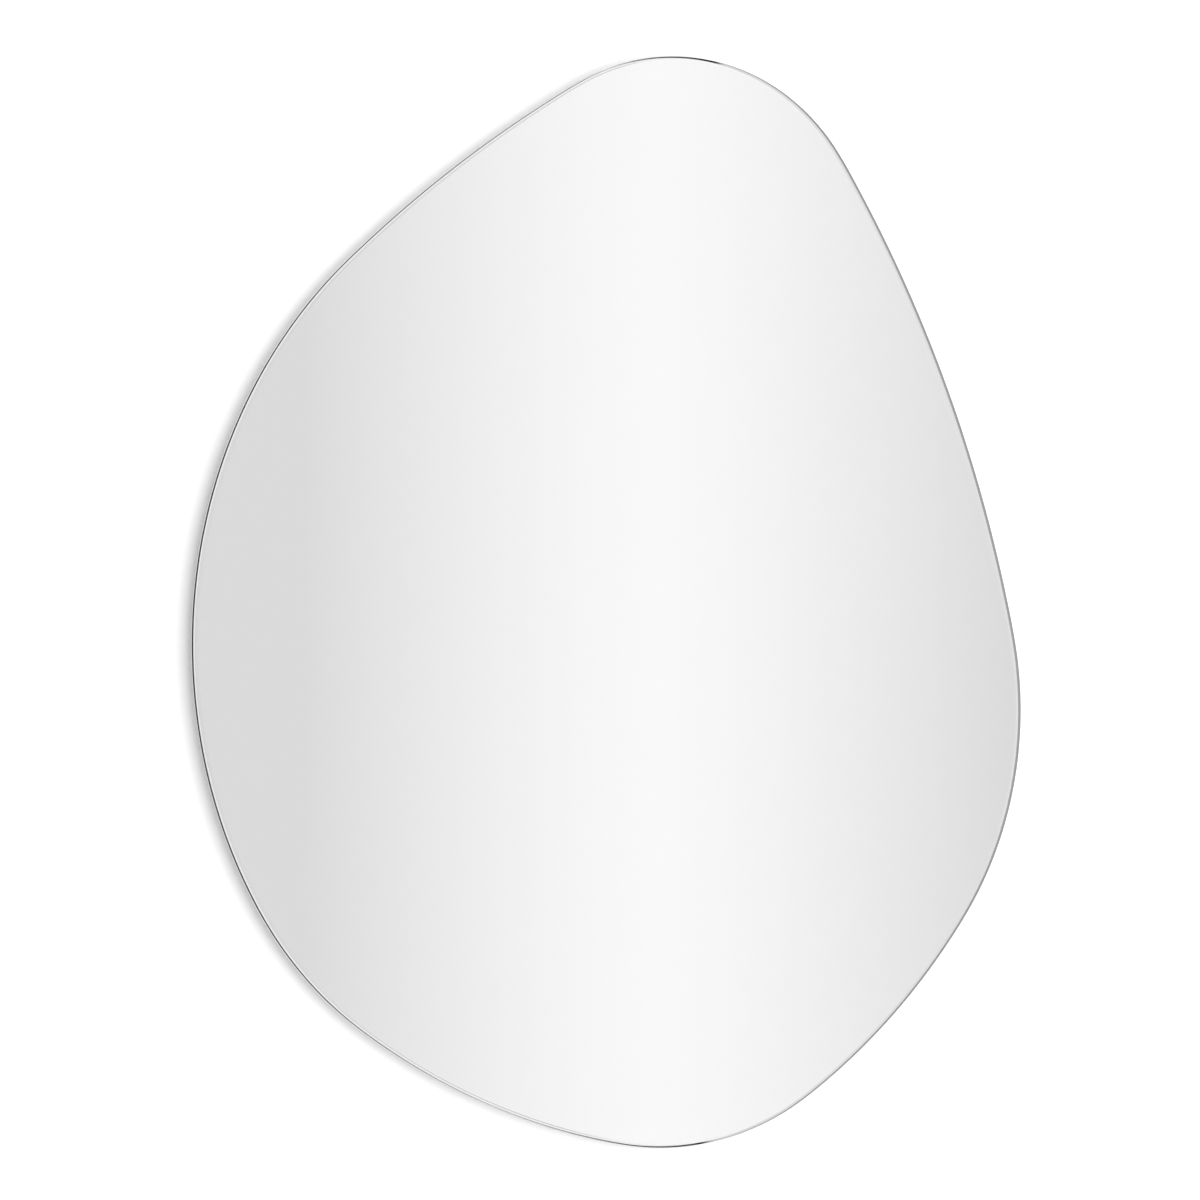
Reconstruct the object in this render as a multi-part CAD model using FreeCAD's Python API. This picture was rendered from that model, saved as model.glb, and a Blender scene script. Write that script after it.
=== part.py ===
import FreeCAD, Part
import math
import os

from FreeCAD import Vector

# An irregular, pebble-shaped wall mirror without a frame. All sizes are in millimetres.
#
# X runs to the right as someone who faces the mirror sees it, Z is up, and the wall is the plane Y = 0.
# The mirror faces -Y. The origin is the point on the wall midway between the two screws that carry it.
#
# From the front: glass with a ground edge, silver coating, safety film, foam tape and adhesive, backing
# board. On the board's back are two D-ring hangers, each held by two screws, and four rubber bumpers that
# keep the board off the wall. The rings turn in their straps and are shown up, as they hang on the wall.

# Outline of the glass. Four crowns each touch one side of the rectangle that the glass is cut from, and
# flatter arcs join them. Every arc runs into the next one without a corner.
GLASS_WIDTH = 700.0
GLASS_HEIGHT = 800.0
TOP_RADIUS = 172.0
TOP_X = 63.0  # the highest point, to the right of the rectangle's middle
LEFT_RADIUS = 372.0
LEFT_Z = -32.0  # the leftmost point, from the rectangle's middle
BOTTOM_RADIUS = 219.0
BOTTOM_X = 50.0
RIGHT_RADIUS = 270.0
RIGHT_Z = -76.0
UPPER_LEFT_RADIUS = 1020.0
UPPER_RIGHT_RADIUS = 1040.0
LOWER_RIGHT_RADIUS = 520.0
LOWER_LEFT_RADIUS = 540.0
HAUNCH_RADIUS = 284.0  # the tighter bend between the left crown and the lower left arc
HAUNCH_START = 213.0  # degrees from +X at which the left crown runs into it

# Layers, from the front to the wall
GLASS_THICKNESS = 6.0
FRONT_ARRIS = 1.3  # width of the bevel polished along the front edge
BACK_ARRIS = 0.5  # width of the bevel ground along the back edge
COATING_THICKNESS = 0.15
COATING_INSET = 1.9  # the coating stops this far inside the glass's edge, so that grinding can't chip it
FILM_THICKNESS = 0.2
FILM_INSET = 1.9
BOND_THICKNESS = 1.0
BOARD_THICKNESS = 12.0
BOARD_INSET = 30.0  # the board stops this far inside the glass's edge, out of sight
BOARD_CHAMFER = 3.0
BUMPER_HEIGHT = 6.0

# Foam tape and adhesive between the film and the board
TAPE_COUNT = 5
TAPE_WIDTH = 20.0
TAPE_EDGE_MARGIN = 25.0  # from the board's edge
BEAD_WIDTH = 16.0
BEAD_END_MARGIN = 30.0  # a bead stops this much further in than the tape beside it

# Bumpers, in line with the hangers
BUMPER_DIAMETER = 20.0
BUMPER_FACE_DIAMETER = 16.0
BUMPER_RIM = 1.0  # radius round the face
BUMPER_ABOVE_SEAT = 25.0  # an upper bumper's middle, above where the wall screw bears
BUMPER_EDGE_MARGIN = 36.0  # a lower bumper's middle, from the board's edge

# Hangers
HANGER_SPACING = 300.0
HANG_BELOW_TOP = 210.0  # from the top of the glass down to where the screws bear
RING_WIRE = 3.0
RING_INNER_WIDTH = 20.0
RING_CORNER = 3.0  # radius of the wire's centreline where the bar turns into the bow
RING_BUTT_GAP = 0.5  # the wire's two ends, inside the strap
RING_CLEARANCE = 0.06  # all round the bar, inside the strap
RING_BOARD_GAP = 0.3  # from the bow to the board, with the ring up
STRAP_SHEET = 1.0
STRAP_LAYER_GAP = 0.1
STRAP_WIDTH = 14.0
STRAP_BEND = 1.0  # radius where the upper layer leaves the loop
STRAP_BOARD_GAP = 0.02
SCREW_FROM_AXIS = 21.0
SCREW_SPACING = 15.0
SCREW_SHANK = 3.5
SCREW_LENGTH = 12.0
SCREW_POINT = 2.5
SCREW_HEAD = 7.0
SCREW_HEAD_HEIGHT = 2.2
SCREW_RIM = 0.6  # upright part of the head, below its slope
SCREW_CROWN = 4.2  # the flat top's diameter
CROSS_SPAN = 3.6
CROSS_WIDTH = 0.9
CROSS_DEPTH = 1.3
HOLE_CLEARANCE = 0.25  # round the shank in the strap
PILOT_CLEARANCE = 0.05  # round the shank in the board
PILOT_EXTRA_DEPTH = 0.5

# Where each layer's faces lie
BOARD_BACK = -BUMPER_HEIGHT
BOARD_FRONT = BOARD_BACK - BOARD_THICKNESS
FILM_BACK = BOARD_FRONT - BOND_THICKNESS
COATING_BACK = FILM_BACK - FILM_THICKNESS
GLASS_BACK = COATING_BACK - COATING_THICKNESS
GLASS_FRONT = GLASS_BACK - GLASS_THICKNESS

# Ring and strap, seen along the ring's bar
WIRE_RADIUS = RING_WIRE / 2
LOOP_INNER_RADIUS = WIRE_RADIUS + RING_CLEARANCE
LOOP_RADIUS = LOOP_INNER_RADIUS + STRAP_SHEET / 2  # to the middle of the sheet
AXIS_HEIGHT = LOOP_INNER_RADIUS + STRAP_SHEET + STRAP_BOARD_GAP  # above the board's back
BOW_RADIUS = RING_INNER_WIDTH / 2 + WIRE_RADIUS
BOW_REACH = RING_CORNER + BOW_RADIUS  # from the axis to the middle of the wire at the bow's top
RING_LEAN = math.degrees(math.asin((AXIS_HEIGHT - WIRE_RADIUS - RING_BOARD_GAP) / BOW_REACH))
SEAT_REACH = BOW_REACH - WIRE_RADIUS  # from the axis to where the wall screw bears
AXIS_Y = BOARD_BACK + AXIS_HEIGHT
AXIS_Z = -SEAT_REACH * math.cos(math.radians(RING_LEAN))
STRAP_TOP = 2 * STRAP_SHEET + STRAP_LAYER_GAP + STRAP_BOARD_GAP  # above the board's back
STRAP_LENGTH = SCREW_FROM_AXIS + SCREW_SPACING + STRAP_WIDTH / 2


def direction(degrees):
    """The unit vector at that angle from +X towards +Z."""
    turn = math.radians(degrees)
    return Vector(math.cos(turn), 0, math.sin(turn))


def angle_of(vector):
    """The angle of a vector from +X towards +Z, in degrees."""
    return math.degrees(math.atan2(vector.z, vector.x))


def bridge(first, second, radius):
    """The circle of that radius that holds both circles and touches each from outside."""
    apart = second[0] - first[0]
    length = apart.Length
    along = Vector(apart).normalize()
    across = Vector(-along.z, 0, along.x)
    reach_first = radius - first[1]
    reach_second = radius - second[1]
    step = (length**2 + reach_first**2 - reach_second**2) / (2 * length)
    centre = first[0] + along * step + across * math.sqrt(reach_first**2 - step**2)
    return centre, radius


def outline_circles():
    """The circles that the outline follows, anticlockwise from the top, about the rectangle's middle."""
    top = (Vector(TOP_X, 0, GLASS_HEIGHT / 2 - TOP_RADIUS), TOP_RADIUS)
    left = (Vector(LEFT_RADIUS - GLASS_WIDTH / 2, 0, LEFT_Z), LEFT_RADIUS)
    haunch = (left[0] + direction(HAUNCH_START) * (LEFT_RADIUS - HAUNCH_RADIUS), HAUNCH_RADIUS)
    bottom = (Vector(BOTTOM_X, 0, BOTTOM_RADIUS - GLASS_HEIGHT / 2), BOTTOM_RADIUS)
    right = (Vector(GLASS_WIDTH / 2 - RIGHT_RADIUS, 0, RIGHT_Z), RIGHT_RADIUS)
    return {
        "top": top,
        "upper_left": bridge(top, left, UPPER_LEFT_RADIUS),
        "left": left,
        "haunch": haunch,
        "lower_left": bridge(haunch, bottom, LOWER_LEFT_RADIUS),
        "bottom": bottom,
        "lower_right": bridge(bottom, right, LOWER_RIGHT_RADIUS),
        "right": right,
        "upper_right": bridge(right, top, UPPER_RIGHT_RADIUS),
    }


def outline_arcs():
    """Each arc's centre, radius, start angle and span. Two arcs meet on the line through their centres."""
    circles = outline_circles()
    names = list(circles)
    starts = {}
    for before, name in zip([names[-1]] + names, names):
        centre, radius = circles[name]
        centre_before, radius_before = circles[before]
        if radius > radius_before:
            starts[name] = angle_of(centre_before - centre)
        else:
            starts[name] = angle_of(centre - centre_before)
    arcs = {}
    for name, after in zip(names, names[1:] + names):
        span = (starts[after] - starts[name]) % 360
        arcs[name] = (circles[name][0], circles[name][1], starts[name], span)
    return arcs


ARCS = outline_arcs()


def edge_point(arc, share, inset):
    """The point a share of the way along an arc and inset from the glass's edge."""
    centre, radius, start, span = ARCS[arc]
    return centre + direction(start + share * span) * (radius - inset)


def outline(inset, y, shift=Vector()):
    """The closed outline, drawn in by inset, in the plane at y."""
    edges = []
    for name in ARCS:
        points = [edge_point(name, share, inset) + shift for share in (0, 0.5, 1)]
        for point in points:
            point.y = y
        edges.append(Part.Arc(*points).toShape())
    return Part.Wire(edges)


# The rings share the weight, so the balance line is at X = 0.
BALANCE_X = Part.Face(outline(0, 0)).CenterOfMass.x
MIDDLE = Vector(-BALANCE_X, 0, HANG_BELOW_TOP - GLASS_HEIGHT / 2)


def slab(inset, front, back):
    """A flat sheet of the outline's shape between two planes."""
    return Part.Face(outline(inset, front, MIDDLE)).extrude(Vector(0, back - front, 0))


def edges_at(shape, y):
    """The edges that lie in the plane at y."""
    return [edge for edge in shape.Edges if all(abs(v.Y - y) < 1e-6 for v in edge.Vertexes)]


def glass_pane():
    """Float glass with a flat ground edge and a small bevel on both sides."""
    pane = slab(0, GLASS_FRONT, GLASS_BACK)
    pane = pane.makeChamfer(FRONT_ARRIS, edges_at(pane, GLASS_FRONT))
    return pane.makeChamfer(BACK_ARRIS, edges_at(pane, GLASS_BACK))


def silver_coating():
    """The silver and its protective paint, on the glass's back."""
    return slab(COATING_INSET, GLASS_BACK, COATING_BACK)


def safety_film():
    """The film that holds the pieces together if the glass breaks."""
    return slab(FILM_INSET, COATING_BACK, FILM_BACK)


def inner_height(x, inset):
    """Lowest and highest Z on the upright line at x, inside the outline drawn in by inset."""
    face = Part.Face(outline(inset, 0, MIDDLE))
    line = Part.makeLine(Vector(x, 0, -GLASS_HEIGHT), Vector(x, 0, GLASS_HEIGHT))
    heights = [vertex.Z for vertex in face.common(line).Vertexes]
    return min(heights), max(heights)


def upright_strip(x, width, inset):
    """Lowest and highest Z of an upright strip that stays inside the outline drawn in by inset."""
    left_low, left_high = inner_height(x - width / 2, inset)
    right_low, right_high = inner_height(x + width / 2, inset)
    return max(left_low, right_low), min(left_high, right_high)


def column_x(column):
    """Where an upright column lies. Tapes are at whole numbers, and beads half way between them."""
    usable = GLASS_WIDTH - 2 * (BOARD_INSET + TAPE_EDGE_MARGIN)
    return MIDDLE.x - usable / 2 + (column + 0.5) * usable / TAPE_COUNT


def foam_tape(column):
    """A square-cut strip of double-sided foam tape."""
    x = column_x(column)
    low, high = upright_strip(x, TAPE_WIDTH, BOARD_INSET + TAPE_EDGE_MARGIN)
    corner = Vector(x - TAPE_WIDTH / 2, BOARD_FRONT - BOND_THICKNESS, low)
    return Part.makeBox(TAPE_WIDTH, BOND_THICKNESS, high - low, corner)


def round_ended_plate(x, low, high, width, front, back):
    """An upright plate with half-round ends."""
    radius = width / 2
    left = x - radius
    right = x + radius
    low_centre = low + radius
    high_centre = high - radius
    edges = [
        Part.makeLine(Vector(right, front, low_centre), Vector(right, front, high_centre)),
        Part.Arc(
            Vector(right, front, high_centre), Vector(x, front, high), Vector(left, front, high_centre)
        ).toShape(),
        Part.makeLine(Vector(left, front, high_centre), Vector(left, front, low_centre)),
        Part.Arc(
            Vector(left, front, low_centre), Vector(x, front, low), Vector(right, front, low_centre)
        ).toShape(),
    ]
    return Part.Face(Part.Wire(edges)).extrude(Vector(0, back - front, 0))


def adhesive_bead(column):
    """A bead of adhesive, pressed flat between the film and the board."""
    x = column_x(column + 0.5)
    inset = BOARD_INSET + TAPE_EDGE_MARGIN + BEAD_END_MARGIN
    low, high = upright_strip(x, BEAD_WIDTH, inset)
    return round_ended_plate(x, low, high, BEAD_WIDTH, FILM_BACK, BOARD_FRONT)


def turned(profile, x, y, z):
    """A body turned about an axis along Y through (x, y, z). The profile is [(radius, height), ...]."""
    points = [Vector(radius, height, 0) for radius, height in profile]
    face = Part.Face(Part.makePolygon(points + points[:1]))
    body = face.revolve(Vector(), Vector(0, 1, 0), 360)
    body.translate(Vector(x, y, z))
    return body


def hanger_places():
    """The X of each hanger, by name."""
    return {"left": -HANGER_SPACING / 2, "right": HANGER_SPACING / 2}


def bumper_places():
    """The bumpers' middles, by name."""
    places = {}
    for name, x in hanger_places().items():
        lowest = inner_height(x, BOARD_INSET + BUMPER_EDGE_MARGIN)[0]
        places[f"upper_{name}"] = Vector(x, 0, BUMPER_ABOVE_SEAT)
        places[f"lower_{name}"] = Vector(x, 0, lowest)
    return places


def bumper(place):
    """A rubber bumper, glued to the board by its wide end."""
    base = BUMPER_DIAMETER / 2
    face = BUMPER_FACE_DIAMETER / 2
    profile = [(0, 0), (base, 0), (face, BUMPER_HEIGHT), (0, BUMPER_HEIGHT)]
    body = turned(profile, place.x, BOARD_BACK, place.z)
    return body.makeFillet(BUMPER_RIM, edges_at(body, 0))


def screw_heights():
    """The Z of the two screws in each strap."""
    return [AXIS_Z - SCREW_FROM_AXIS - number * SCREW_SPACING for number in range(2)]


def along_y(radius, x, z, start, end):
    """A round bar along Y."""
    return Part.makeCylinder(radius, end - start, Vector(x, start, z), Vector(0, 1, 0))


def backing_board():
    """The board, with its back edge bevelled and pilot holes for the hangers' screws."""
    board = slab(BOARD_INSET, BOARD_FRONT, BOARD_BACK)
    board = board.makeChamfer(BOARD_CHAMFER, edges_at(board, BOARD_BACK))
    depth = SCREW_LENGTH - STRAP_TOP + PILOT_EXTRA_DEPTH
    for x in hanger_places().values():
        for z in screw_heights():
            radius = SCREW_SHANK / 2 + PILOT_CLEARANCE
            board = board.cut(along_y(radius, x, z, BOARD_BACK - depth, BOARD_BACK))
    return board


def hanger_ring(x):
    """A ring of bent wire in the shape of a D: a straight bar, two tight corners and a half-round bow."""
    bar_end = BOW_RADIUS - RING_CORNER
    corner = RING_CORNER * math.sqrt(0.5)
    right = [
        Vector(RING_BUTT_GAP / 2, 0, 0),
        Vector(bar_end, 0, 0),
        Vector(bar_end + corner, 0, RING_CORNER - corner),
        Vector(BOW_RADIUS, 0, RING_CORNER),
    ]
    left = [Vector(-point.x, 0, point.z) for point in right]
    path = Part.Wire(
        [
            Part.makeLine(right[0], right[1]),
            Part.Arc(right[1], right[2], right[3]).toShape(),
            Part.Arc(right[3], Vector(0, 0, BOW_REACH), left[3]).toShape(),
            Part.Arc(left[3], left[2], left[1]).toShape(),
            Part.makeLine(left[1], left[0]),
        ]
    )
    section = Part.Wire(Part.makeCircle(WIRE_RADIUS, right[0], Vector(1, 0, 0)))
    ring = path.makePipeShell([section], True, False)
    ring.rotate(Vector(), Vector(1, 0, 0), RING_LEAN)
    ring.translate(Vector(x, AXIS_Y, AXIS_Z))
    return ring


def strap_side(side):
    """One face of the folded sheet, from the lower layer's end round the loop to the upper layer's end.

    side is 1 for the outer face and -1 for the inner one. Points are (distance below the ring's axis,
    height above the board's back), and each edge is a list of two or three of them.
    """
    half = side * STRAP_SHEET / 2
    lower = STRAP_BOARD_GAP + STRAP_SHEET / 2 - half
    upper_middle = STRAP_BOARD_GAP + 1.5 * STRAP_SHEET + STRAP_LAYER_GAP
    bend = STRAP_BEND + STRAP_SHEET / 2
    rise = upper_middle + bend - AXIS_HEIGHT
    run = math.sqrt((LOOP_RADIUS + bend) ** 2 - rise**2)
    leave = math.degrees(math.atan2(rise, run))
    lowest = -90  # the point of the loop nearest the board
    loop_middle = (lowest + leave - 360) / 2
    bend_start = leave + 180
    bend_end = lowest + 360
    bend_middle = (bend_start + bend_end) / 2

    def on_loop(degrees):
        turn = math.radians(degrees)
        radius = LOOP_RADIUS + half
        return radius * math.cos(turn), AXIS_HEIGHT + radius * math.sin(turn)

    def on_bend(degrees):
        turn = math.radians(degrees)
        radius = bend - half
        return run + radius * math.cos(turn), upper_middle + bend + radius * math.sin(turn)

    return [
        [(STRAP_LENGTH, lower), on_loop(lowest)],
        [on_loop(lowest), on_loop(loop_middle), on_loop(leave)],
        [on_bend(bend_start), on_bend(bend_middle), on_bend(bend_end)],
        [on_bend(bend_end), (STRAP_LENGTH, upper_middle + half)],
    ]


def hanger_strap(x):
    """A strap folded in two round the ring's bar, with a round end and two screw holes."""
    left = x - STRAP_WIDTH / 2

    def place(point):
        return Vector(left, BOARD_BACK + point[1], AXIS_Z - point[0])

    edges = []
    for side in (1, -1):
        for points in strap_side(side):
            corners = [place(point) for point in points]
            curve = Part.LineSegment if len(corners) == 2 else Part.Arc
            edges.append(curve(*corners).toShape())
    for layer in (0, -1):
        ends = [place(strap_side(side)[layer][layer]) for side in (1, -1)]
        edges.append(Part.makeLine(*ends))
    sheet = Part.Face(Part.Wire(Part.sortEdges(edges)[0])).extrude(Vector(STRAP_WIDTH, 0, 0))
    shape = round_ended_plate(
        x, AXIS_Z - STRAP_LENGTH, AXIS_Z + STRAP_LENGTH, STRAP_WIDTH, BOARD_BACK, 0
    )
    strap = sheet.common(shape)
    for z in screw_heights():
        strap = strap.cut(along_y(SCREW_SHANK / 2 + HOLE_CLEARANCE, x, z, BOARD_BACK, 0))
    return strap.Solids[0]


def screw(x, z):
    """A pan-head screw with a cross recess, driven into the board from the back."""
    seat = BOARD_BACK + STRAP_TOP
    shank = SCREW_SHANK / 2
    head = SCREW_HEAD / 2
    profile = [
        (0, -SCREW_LENGTH),
        (shank, SCREW_POINT - SCREW_LENGTH),
        (shank, 0),
        (head, 0),
        (head, SCREW_RIM),
        (SCREW_CROWN / 2, SCREW_HEAD_HEIGHT),
        (0, SCREW_HEAD_HEIGHT),
    ]
    body = turned(profile, x, seat, z)
    bottom = seat + SCREW_HEAD_HEIGHT - CROSS_DEPTH
    for span_x, span_z in ((CROSS_SPAN, CROSS_WIDTH), (CROSS_WIDTH, CROSS_SPAN)):
        corner = Vector(x - span_x / 2, bottom, z - span_z / 2)
        body = body.cut(Part.makeBox(span_x, CROSS_DEPTH, span_z, corner))
    return body


def hanger_screws(x):
    """The two screws of one hanger."""
    return Part.makeCompound([screw(x, z) for z in screw_heights()])


def build_nodes():
    """Every piece of the mirror, by name."""
    nodes = {
        "glass_pane": glass_pane(),
        "silver_coating": silver_coating(),
        "safety_film": safety_film(),
        "backing_board": backing_board(),
    }
    for column in range(TAPE_COUNT):
        nodes[f"foam_tape_{column + 1}"] = foam_tape(column)
    for column in range(TAPE_COUNT - 1):
        nodes[f"adhesive_bead_{column + 1}"] = adhesive_bead(column)
    for name, place in bumper_places().items():
        nodes[f"bumper_{name}"] = bumper(place)
        print("bumper", name, round(place.x, 3), round(place.z, 3))
    for name, x in hanger_places().items():
        nodes[f"hanger_strap_{name}"] = hanger_strap(x)
        nodes[f"hanger_ring_{name}"] = hanger_ring(x)
        nodes[f"hanger_screws_{name}"] = hanger_screws(x)
    return nodes


def main():
    os.makedirs("parts", exist_ok=True)
    print("ring axis: y", round(AXIS_Y, 4), "z", round(AXIS_Z, 4), "lean", round(RING_LEAN, 4))
    print("glass front", GLASS_FRONT, "balance", round(BALANCE_X, 3), "middle", MIDDLE)
    for name, shape in build_nodes().items():
        if not shape.isValid():
            raise ValueError(f"{name} isn't a valid shape")
        shape.exportStep(f"parts/{name}.step")
        print(name, len(shape.Solids), "solid(s), volume", round(shape.Volume, 1))


main()
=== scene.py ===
# %% [markdown]
# # A pebble-shaped wall mirror without a frame
# The mirror is a sandwich: 6 mm float glass with a ground rim and a polished arris, silver and grey paint
# on its back, a safety film, foam tape and adhesive, and an MDF board that is smaller than the glass. On
# the board sit two D-ring hangers and four rubber bumpers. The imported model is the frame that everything
# here is built around. It says where each piece is, so no size is typed twice: outlines, layers and axes
# are measured from its nodes.

# %% Load the frame
import math

import bmesh
import bpy
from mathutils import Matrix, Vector


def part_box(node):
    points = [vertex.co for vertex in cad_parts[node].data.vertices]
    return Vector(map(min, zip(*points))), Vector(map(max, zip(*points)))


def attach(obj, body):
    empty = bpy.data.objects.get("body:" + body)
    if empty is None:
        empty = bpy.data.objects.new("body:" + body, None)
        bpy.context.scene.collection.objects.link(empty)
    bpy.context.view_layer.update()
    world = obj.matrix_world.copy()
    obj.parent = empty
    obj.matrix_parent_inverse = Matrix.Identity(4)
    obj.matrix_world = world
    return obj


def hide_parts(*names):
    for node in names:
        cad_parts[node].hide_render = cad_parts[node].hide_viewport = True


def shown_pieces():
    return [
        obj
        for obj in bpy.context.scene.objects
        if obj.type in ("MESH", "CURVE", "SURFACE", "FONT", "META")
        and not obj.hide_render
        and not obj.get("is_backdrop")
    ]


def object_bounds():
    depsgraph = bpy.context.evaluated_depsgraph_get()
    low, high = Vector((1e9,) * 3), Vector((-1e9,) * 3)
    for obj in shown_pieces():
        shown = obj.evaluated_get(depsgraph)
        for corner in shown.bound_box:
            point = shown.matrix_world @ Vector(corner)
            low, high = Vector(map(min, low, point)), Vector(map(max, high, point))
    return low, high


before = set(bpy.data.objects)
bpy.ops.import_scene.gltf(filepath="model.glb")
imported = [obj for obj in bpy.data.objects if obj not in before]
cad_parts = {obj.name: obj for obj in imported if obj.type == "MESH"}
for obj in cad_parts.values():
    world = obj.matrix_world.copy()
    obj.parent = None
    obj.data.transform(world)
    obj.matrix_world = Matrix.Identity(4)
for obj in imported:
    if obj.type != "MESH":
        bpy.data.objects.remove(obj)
cad_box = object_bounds()
MM = 0.001
scene = bpy.context.scene
scene.view_settings.view_transform = "Standard"

# %% [markdown]
# ## The camera
# The photograph is taken level with the middle of the mirror, 29 degrees to its right and from about 4 m
# away, through a long lens. The lens is what keeps the left and right edges nearly parallel: from closer
# up, the far side would be visibly smaller. The camera is made first.

# %% Camera
CAMERA_AZIMUTH = math.radians(29.3)
CAMERA_DISTANCE = 4.0
CAMERA_LENS = 162.8
AIM_FROM_MIDDLE = Vector((11.7, 0, 1.8)) * MM

glass_low, glass_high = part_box("glass_pane")
glass_middle = (glass_low + glass_high) / 2
face_middle = Vector((glass_middle.x, glass_low.y, glass_middle.z))
aim = face_middle + AIM_FROM_MIDDLE
to_camera = Vector((math.sin(CAMERA_AZIMUTH), -math.cos(CAMERA_AZIMUTH), 0))

camera = bpy.data.objects.new("camera", bpy.data.cameras.new("camera"))
scene.collection.objects.link(camera)
scene.camera = camera
camera.location = aim + to_camera * CAMERA_DISTANCE
camera.rotation_euler = to_camera.to_track_quat("Z", "Y").to_euler()
camera.data.lens = CAMERA_LENS
camera.data.clip_start = 0.1
camera.data.clip_end = 50
print("camera at", [round(c, 3) for c in camera.location])

# %% [markdown]
# ## Colours and nodes
# Colours are written as the sRGB hex values that a colour picker shows. Shaders work with linear light, so
# one function converts them. Another small function adds a node: its settings are plain properties, and
# each input is either a value or a socket to link.

# %% Colour and node helpers
def linear(hex_colour):
    """An sRGB hex colour as linear red, green, blue and alpha."""
    channels = [int(hex_colour[i : i + 2], 16) / 255 for i in (1, 3, 5)]
    return [c / 12.92 if c <= 0.04045 else ((c + 0.055) / 1.055) ** 2.4 for c in channels] + [1.0]


def add(tree, kind, inputs=None, **settings):
    """Adds a node to a tree. Inputs are by name or number, and hold a value or another node's output."""
    node = tree.nodes.new(kind)
    for name, value in settings.items():
        setattr(node, name, value)
    for name, value in (inputs or {}).items():
        if isinstance(value, bpy.types.NodeSocket):
            tree.links.new(value, node.inputs[name])
        else:
            node.inputs[name].default_value = value
    return node


def new_material(name):
    """A material with an empty node tree, and that tree."""
    material = bpy.data.materials.new(name)
    material.use_nodes = True
    material.node_tree.nodes.clear()
    return material, material.node_tree


def finish_material(tree, shader):
    """Connects a shader to the material's surface."""
    add(tree, "ShaderNodeOutputMaterial", {"Surface": shader.outputs[0]})


print("mid grey in linear light", round(linear("#808080")[0], 3))

# %% [markdown]
# ## The outline
# The glass is cut to a free curve of smooth arcs. The frame's glass pane already follows it, but with
# straight chords up to 26 mm long, which would show as facets where the polished arris catches light. The
# chords' ends lie exactly on the curve, so the curve is rebuilt through them: at each point the tangent
# divides the turn between its two chords in proportion to their lengths, as on a circle, and a cubic joins
# the points.

# %% Read the outline from the frame
OUTLINE_STEP = 2.0 * MM
SAME_LEVEL = 1e-6  # corners closer than this in Y are on one level, in metres


def levels(node):
    """The Y of each flat ring of corners in a node, from the front to the back."""
    return sorted({round(v.co.y, 6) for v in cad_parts[node].data.vertices})


def ring(node, y):
    """The corners of a node at one Y, in order round the node's middle."""
    found = {}
    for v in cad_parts[node].data.vertices:
        if abs(v.co.y - y) < SAME_LEVEL:
            found[(round(v.co.x, 6), round(v.co.z, 6))] = Vector((v.co.x, v.co.z))
    low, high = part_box(node)
    middle = Vector((low.x + high.x, low.z + high.z)) / 2
    return sorted(found.values(), key=lambda p: math.atan2(p.y - middle.y, p.x - middle.x))


def smooth_loop(points, step):
    """Points and outward normals on the smooth closed curve through the given points."""
    count = len(points)
    tangents = []
    for i, point in enumerate(points):
        before = point - points[i - 1]
        after = points[(i + 1) % count] - point
        tangent = before.normalized() * after.length + after.normalized() * before.length
        tangents.append(tangent.normalized())
    loop = []
    for i, point in enumerate(points):
        following = points[(i + 1) % count]
        chord = (following - point).length
        pieces = max(1, round(chord / step))
        for k in range(pieces):
            t = k / pieces
            start, end = tangents[i] * chord, tangents[(i + 1) % count] * chord
            place = (
                point * (2 * t**3 - 3 * t**2 + 1)
                + start * (t**3 - 2 * t**2 + t)
                + following * (3 * t**2 - 2 * t**3)
                + end * (t**3 - t**2)
            )
            along = tangents[i].lerp(tangents[(i + 1) % count], t).normalized()
            loop.append((place, Vector((along.y, -along.x))))
    return loop


glass_front, edge_front, edge_back, glass_back = levels("glass_pane")
outline = smooth_loop(ring("glass_pane", edge_front), OUTLINE_STEP)
front_arris = edge_front - glass_front
back_arris = glass_back - edge_back
print("outline points", len(outline), "arrises in mm", round(front_arris / MM, 2), round(back_arris / MM, 2))

# %% [markdown]
# ## Pieces swept round the outline
# Glass, coating, film and board all follow the outline at some distance inside it. Such a piece is a
# profile, a short list of (inset, y) points from its front to its back, carried round the outline. One
# function makes the strips and closes both ends, so the pieces stay parallel however the outline bends.
# Corners that the eye would expect to be worn or ground get a small rounding in the profile itself, not in
# the shading.

# %% Sweep a profile round the outline
ROUNDINGS_PER_SIDE = 2.2  # two roundings on one side of a profile leave a little of it straight


def rounded(profile, radius, pieces=3):
    """The profile with each inner corner replaced by a short curve that starts a radius before it."""
    points = [Vector(p) for p in profile]
    result = [points[0]]
    for before, corner, after in zip(points, points[1:], points[2:]):
        shorter = min((corner - before).length, (after - corner).length)
        reach = min(radius, shorter / ROUNDINGS_PER_SIDE)
        start = corner + (before - corner).normalized() * reach
        end = corner + (after - corner).normalized() * reach
        for k in range(pieces + 1):
            t = k / pieces
            result.append(start * (1 - t) ** 2 + corner * 2 * t * (1 - t) + end * t**2)
    return result + [points[-1]]


def link_mesh(name, bm, materials):
    """Closes a mesh under construction and puts it in the scene as an object with these materials."""
    bmesh.ops.recalc_face_normals(bm, faces=bm.faces)
    mesh = bpy.data.meshes.new(name)
    bm.to_mesh(mesh)
    bm.free()
    piece = bpy.data.objects.new(name, mesh)
    scene.collection.objects.link(piece)
    for material in materials:
        mesh.materials.append(material)
    return piece


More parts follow.
